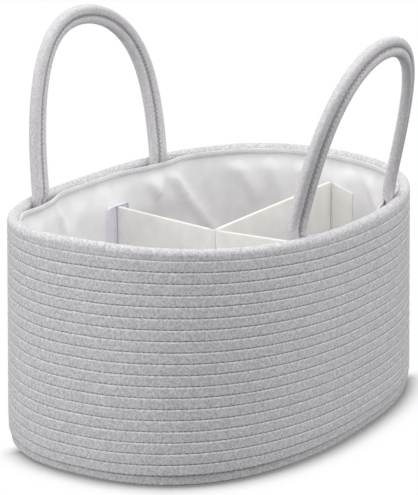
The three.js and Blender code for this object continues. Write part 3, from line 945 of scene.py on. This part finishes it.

# Hem stitches: a lockstitch round the hem in the handles' grey thread. Each stitch dips into the
# cloth at both ends.
stitch_spacing = 3.4 * mm
stitch_length = 2.7 * mm
stitch_radius = 0.32 * mm
stitch_drop = 2.9 * mm
stitch_sides = 5
stitch_proud = 0.05 * mm
stitch_start_share = 0.1
stitch_shoulder_share = 0.2
stitch_end_share = 0.35
hem_line_depth = hem_outer + 2 * hem_half_thickness + stitch_proud
fine_shares = even_shares(4 * lining_columns)
fine_z = rim_top(fine_shares) - rim_showing - stitch_drop
fine_line = np.column_stack([
    in_wall(fine_shares, fine_z, hem_line_depth + pocket(fine_shares)), fine_z,
])
fine_line = np.concatenate([fine_line, fine_line[:1]])
fine_along = lengths_along(fine_line)
stitch_count = int(fine_along[-1] / stitch_spacing)
stitch_points = []
stitch_faces = []
for i in range(stitch_count):
    begin = (i + stitch_start_share) * fine_along[-1] / stitch_count
    stops = (0, stitch_shoulder_share, 1 - stitch_shoulder_share, 1)
    line = at_stops(fine_line, fine_along, [begin + stitch_length * stop for stop in stops])
    way = (line[-1] - line[0]) / np.linalg.norm(line[-1] - line[0])
    out = np.array([-way[1], way[0], 0])
    rise = np.array([0, 0, 1])
    first = len(stitch_points)
    for point, share in zip(line, (stitch_end_share, 1, 1, stitch_end_share)):
        for j in range(stitch_sides):
            angle = 2 * math.pi * j / stitch_sides
            spoke = out * math.cos(angle) + rise * math.sin(angle)
            stitch_points.append(tuple(point + stitch_radius * share * spoke))
    for r in range(3):
        for j in range(stitch_sides):
            k = (j + 1) % stitch_sides
            low = first + r * stitch_sides
            stitch_faces.append((low + j, low + stitch_sides + j, low + stitch_sides + k, low + k))
    stitch_faces.append(tuple(first + j for j in range(stitch_sides)))
    stitch_faces.append(tuple(first + 3 * stitch_sides + j for j in reversed(range(stitch_sides))))
stitches = new_piece("hem_stitch_row", stitch_points, stitch_faces)
stitches.data.materials.append(seam_thread)
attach(stitches, "basket")
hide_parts("hem_stitches")

# Lining floor: an oval of the same cotton over a thin board, laid on the base coil.
floor_top = 10.4 * mm
floor_cloth_thickness = 1.7 * mm
floor_edge_gap = 0.2 * mm
floor_softness = 0.5 * mm
floor_columns = 120
floor_rings = 16
floor_ripple = 0.35 * mm
floor_ripple_scale = 14
floor_ripple_seed = 0.4
floor_ripple_growth = 3
floor_depth = lining_outer + cloth_thickness + floor_edge_gap
edge = in_wall(even_shares(floor_columns), floor_top, floor_depth)
floor_points = []
for k in range(floor_rings):
    inward = k / floor_rings
    ripple = floor_ripple * min(1, floor_ripple_growth * inward)
    for x, y in edge * (1 - inward):
        spot = Vector((x * floor_ripple_scale, y * floor_ripple_scale, floor_ripple_seed))
        floor_points.append((x, y, floor_top + noise.noise(spot) * ripple))
floor_points.append((0, 0, floor_top))
floor_faces = []
for i in range(floor_columns):
    n = (i + 1) % floor_columns
    for k in range(floor_rings - 1):
        near = k * floor_columns
        far = near + floor_columns
        floor_faces.append((near + i, near + n, far + n, far + i))
    floor_faces.append((far + i, far + n, len(floor_points) - 1))


def soften_edges(piece, width, segments, sharper_than=50, smooth_below=40):
    """Rounds a piece's edges that turn by more than an angle in degrees, and smooths the rest."""
    soft = piece.modifiers.new("soft edges", "BEVEL")
    soft.width = width
    soft.segments = segments
    soft.angle_limit = math.radians(sharper_than)
    bpy.ops.object.modifier_apply(modifier="soft edges")
    bpy.ops.object.shade_smooth_by_angle(angle=math.radians(smooth_below))


lining_floor = new_piece("lining_floor_cloth", floor_points, floor_faces)
if lining_floor.data.polygons[0].normal.z < 0:
    lining_floor.data.flip_normals()
board = lining_floor.modifiers.new("board", "SOLIDIFY")
board.thickness = floor_cloth_thickness
board.offset = -1
bpy.ops.object.modifier_apply(modifier="board")
soften_edges(lining_floor, floor_softness, 2, smooth_below=180)
lining_floor.data.materials.append(lining_cotton)
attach(lining_floor, "basket")
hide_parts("lining_floor")

# Divider panels: three stiff boards in one white cloth cover. The cloth runs on past each
# board, flat, to the middle, where the three are sewn together.
panel_thickness = 3.6 * mm
nose_length = 7.5 * mm
nose_thickness = 1.3 * mm
panel_bottom = 10.9 * mm
panel_top = 148.6 * mm
junction = Vector((-3 * mm, 1 * mm, 0))
seam_gap = 1.9 * mm
cover_edge = 0.9 * mm
end_length = 4 * mm
edge_margin = 1 * mm


def new_block(name, size, middle):
    """A square block, ready to be cut and rounded."""
    bpy.ops.mesh.primitive_cube_add(size=1)
    block = bpy.context.object
    block.name = name
    block.data.name = name
    block.data.transform(Matrix.Translation(middle) @ Matrix.Diagonal((*size, 1)))
    return block


def covered_board(name, end, end_facing, end_rise):
    """A cloth-covered board from the middle seam to an end point, cut there to face a way."""
    along = Vector(end).xy - junction.xy
    length = along.length
    height = panel_top - panel_bottom
    board = new_block(
        name, (length - seam_gap, panel_thickness, height),
        ((length + seam_gap) / 2, 0, panel_bottom + height / 2),
    )
    bpy.ops.object.mode_set(mode="EDIT")
    for cut_at in (seam_gap + nose_length, length - end_length):
        bpy.ops.mesh.select_all(action="SELECT")
        bpy.ops.mesh.bisect(plane_co=(cut_at, 0, 0), plane_no=(1, 0, 0))
    bpy.ops.object.mode_set(mode="OBJECT")
    facing = Vector(end_facing)
    slope = facing.cross(along) / facing.dot(along)
    for v in board.data.vertices:
        if v.co.x < seam_gap + edge_margin:
            v.co.y *= nose_thickness / panel_thickness
        if v.co.x > length - edge_margin:
            v.co.x += slope * v.co.y
        if v.co.z > panel_top - edge_margin:
            v.co.z += end_rise * (v.co.x - seam_gap) / (length - seam_gap)
    soften_edges(board, cover_edge, 3, sharper_than=40, smooth_below=35)
    angle = math.atan2(along.y, along.x)
    board.data.transform(Matrix.Translation(junction) @ Matrix.Rotation(angle, 4, "Z"))
    return board


# Panel cover: the lining's cotton in a warmer, closer weave. It gives a flat, creamier white.
panel_thread_spacing = 0.8 * mm
panel_cloth = woven_cotton(
    "white cotton panel cover", ("#ecebe7", "#f6f5f1"), panel_thread_spacing,
)
# Each panel: its body, its far end in mm, the way that the end faces and how far it rises in mm.
panels = {
    "divider_left_panel": ("left_panel", (29.5, 118.0), (0, 1), -0.3),
    "divider_right_panel": ("right_panel", (-7.0, -119.3), (0, -1), 0),
    "divider_end_panel": ("divider", (175.4, -12.0), (0.995, -0.1), 8.5),
}
for node, (body, end, end_facing, end_rise) in panels.items():
    end_place = Vector(end) * mm
    board = covered_board(f"{node}_cover", end_place, end_facing, end_rise * mm)
    board.data.materials.append(panel_cloth)
    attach(board, body)
    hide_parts(node)

# Divider seam: the three covers' edges, sewn into one upright ridge of cloth. The side panels
# swing on it, and it stands on the lining floor.
ridge_radius = 1.55 * mm
ridge_sides = 20
ridge_softness = 0.5 * mm


def upright_roll(name, radius, sides, low, high, softness, segments):
    """A narrow upright roll of cloth between two corners of a box, with softened ends."""
    bpy.ops.mesh.primitive_cylinder_add(vertices=sides, radius=radius, depth=high.z - low.z)
    roll = bpy.context.object
    roll.name = name
    roll.data.name = name
    roll.data.transform(Matrix.Translation((low + high) / 2))
    soften_edges(roll, softness, segments)
    return roll


ridge_low = junction + Vector((0, 0, panel_bottom))
ridge_high = junction + Vector((0, 0, panel_top))
ridge = upright_roll(
    "divider_seam_ridge", ridge_radius, ridge_sides, ridge_low, ridge_high, ridge_softness, 3,
)
ridge.data.materials.append(panel_cloth)
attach(ridge, "divider")
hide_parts("divider_centre_seam")

# Hook tabs: strips of lilac-white hook tape with rounded corners, sewn across the two side panels'
# ends. They cling to the lining and hold the divider.
tape_thickness = 1.4 * mm
tape_corner = 3 * mm
tape_drop = 2 * mm
tape_edge = 0.3 * mm
hook_spacing = 1.5 * mm
hook_height = 0.4 * mm

# Hook tape: woven nylon with small moulded hooks. It gives a cool lilac white, a little glossier
# than the cloth and pimpled all over. The hooks are drawn twice as far apart as real ones.
hook_tape, tree = new_material("lilac white hook tape")
place = add_node(tree, "TexCoord").outputs["Object"]
hooks = add_node(tree, "TexVoronoi", {"Vector": place, "Scale": 1 / hook_spacing})
from_hook = hooks.outputs["Distance"]
tape_colour = add_ramp(tree, from_hook, ("#f3f1f9", "#e9e6f2"), (0.1, 0.6))
add_surface(
    tree, tape_colour, from_hook, hook_height, roughness=0.6, gleam=0.4, inverted=True,
)
for name, node, body in (
    ("divider_left_hook_tape", "divider_left_hook_tab", "left_panel"),
    ("divider_right_hook_tape", "divider_right_hook_tab", "right_panel"),
):
    low, high = (Vector(corner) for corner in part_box(node))
    high.z -= tape_drop
    tape = new_block(name, (high.x - low.x, tape_thickness, high.z - low.z), (low + high) / 2)
    bpy.ops.object.mode_set(mode="EDIT")
    bpy.ops.mesh.select_all(action="DESELECT")
    bpy.ops.object.mode_set(mode="OBJECT")
    for e in tape.data.edges:
        a, b = (tape.data.vertices[i].co for i in e.vertices)
        e.select = abs(a.y - b.y) > tape_thickness / 2
    bpy.ops.object.mode_set(mode="EDIT")
    bpy.ops.mesh.bevel(offset=tape_corner, segments=5, affect="EDGES")
    bpy.ops.object.mode_set(mode="OBJECT")
    soften_edges(tape, tape_edge, 2)
    tape.data.materials.append(hook_tape)
    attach(tape, body)
    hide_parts(node)

# End flap: a thin stiffened flap in the panels' cloth, folded off the end panel along a soft roll.
# It lies against the lining and keeps the end panel in its place.
fold_radius = 0.8 * mm
fold_sides = 16
fold_softness = 0.3 * mm
flap_thickness = 1.5 * mm
flap_edge = 0.5 * mm
flap_drop = 7 * mm
fold_low, fold_high = (Vector(corner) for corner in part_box("divider_end_flap_fold"))
fold_roll = upright_roll(
    "divider_flap_fold_roll", fold_radius, fold_sides, fold_low, fold_high, fold_softness, 2,
)
fold_roll.data.materials.append(panel_cloth)
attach(fold_roll, "divider")
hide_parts("divider_end_flap_fold")

flap_low, flap_high = (Vector(corner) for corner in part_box("divider_end_flap"))
flap_start = Vector((flap_high.x - flap_thickness / 2, flap_high.y, 0))
flap_end = Vector((flap_low.x + flap_thickness / 2, flap_low.y, 0))
flap_along = flap_end - flap_start
flap = new_block(
    "divider_flap_cover", (flap_along.length, flap_thickness, flap_high.z - flap_low.z),
    (flap_along.length / 2, 0, (flap_low.z + flap_high.z) / 2),
)
for v in flap.data.vertices:
    if v.co.z > flap_high.z - edge_margin:
        v.co.z -= flap_drop * v.co.x / flap_along.length
flap_angle = math.atan2(flap_along.y, flap_along.x)
flap.data.transform(Matrix.Translation(flap_start) @ Matrix.Rotation(flap_angle, 4, "Z"))
soften_edges(flap, flap_edge, 3)
flap.data.materials.append(panel_cloth)
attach(flap, "end_flap")
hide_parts("divider_end_flap")
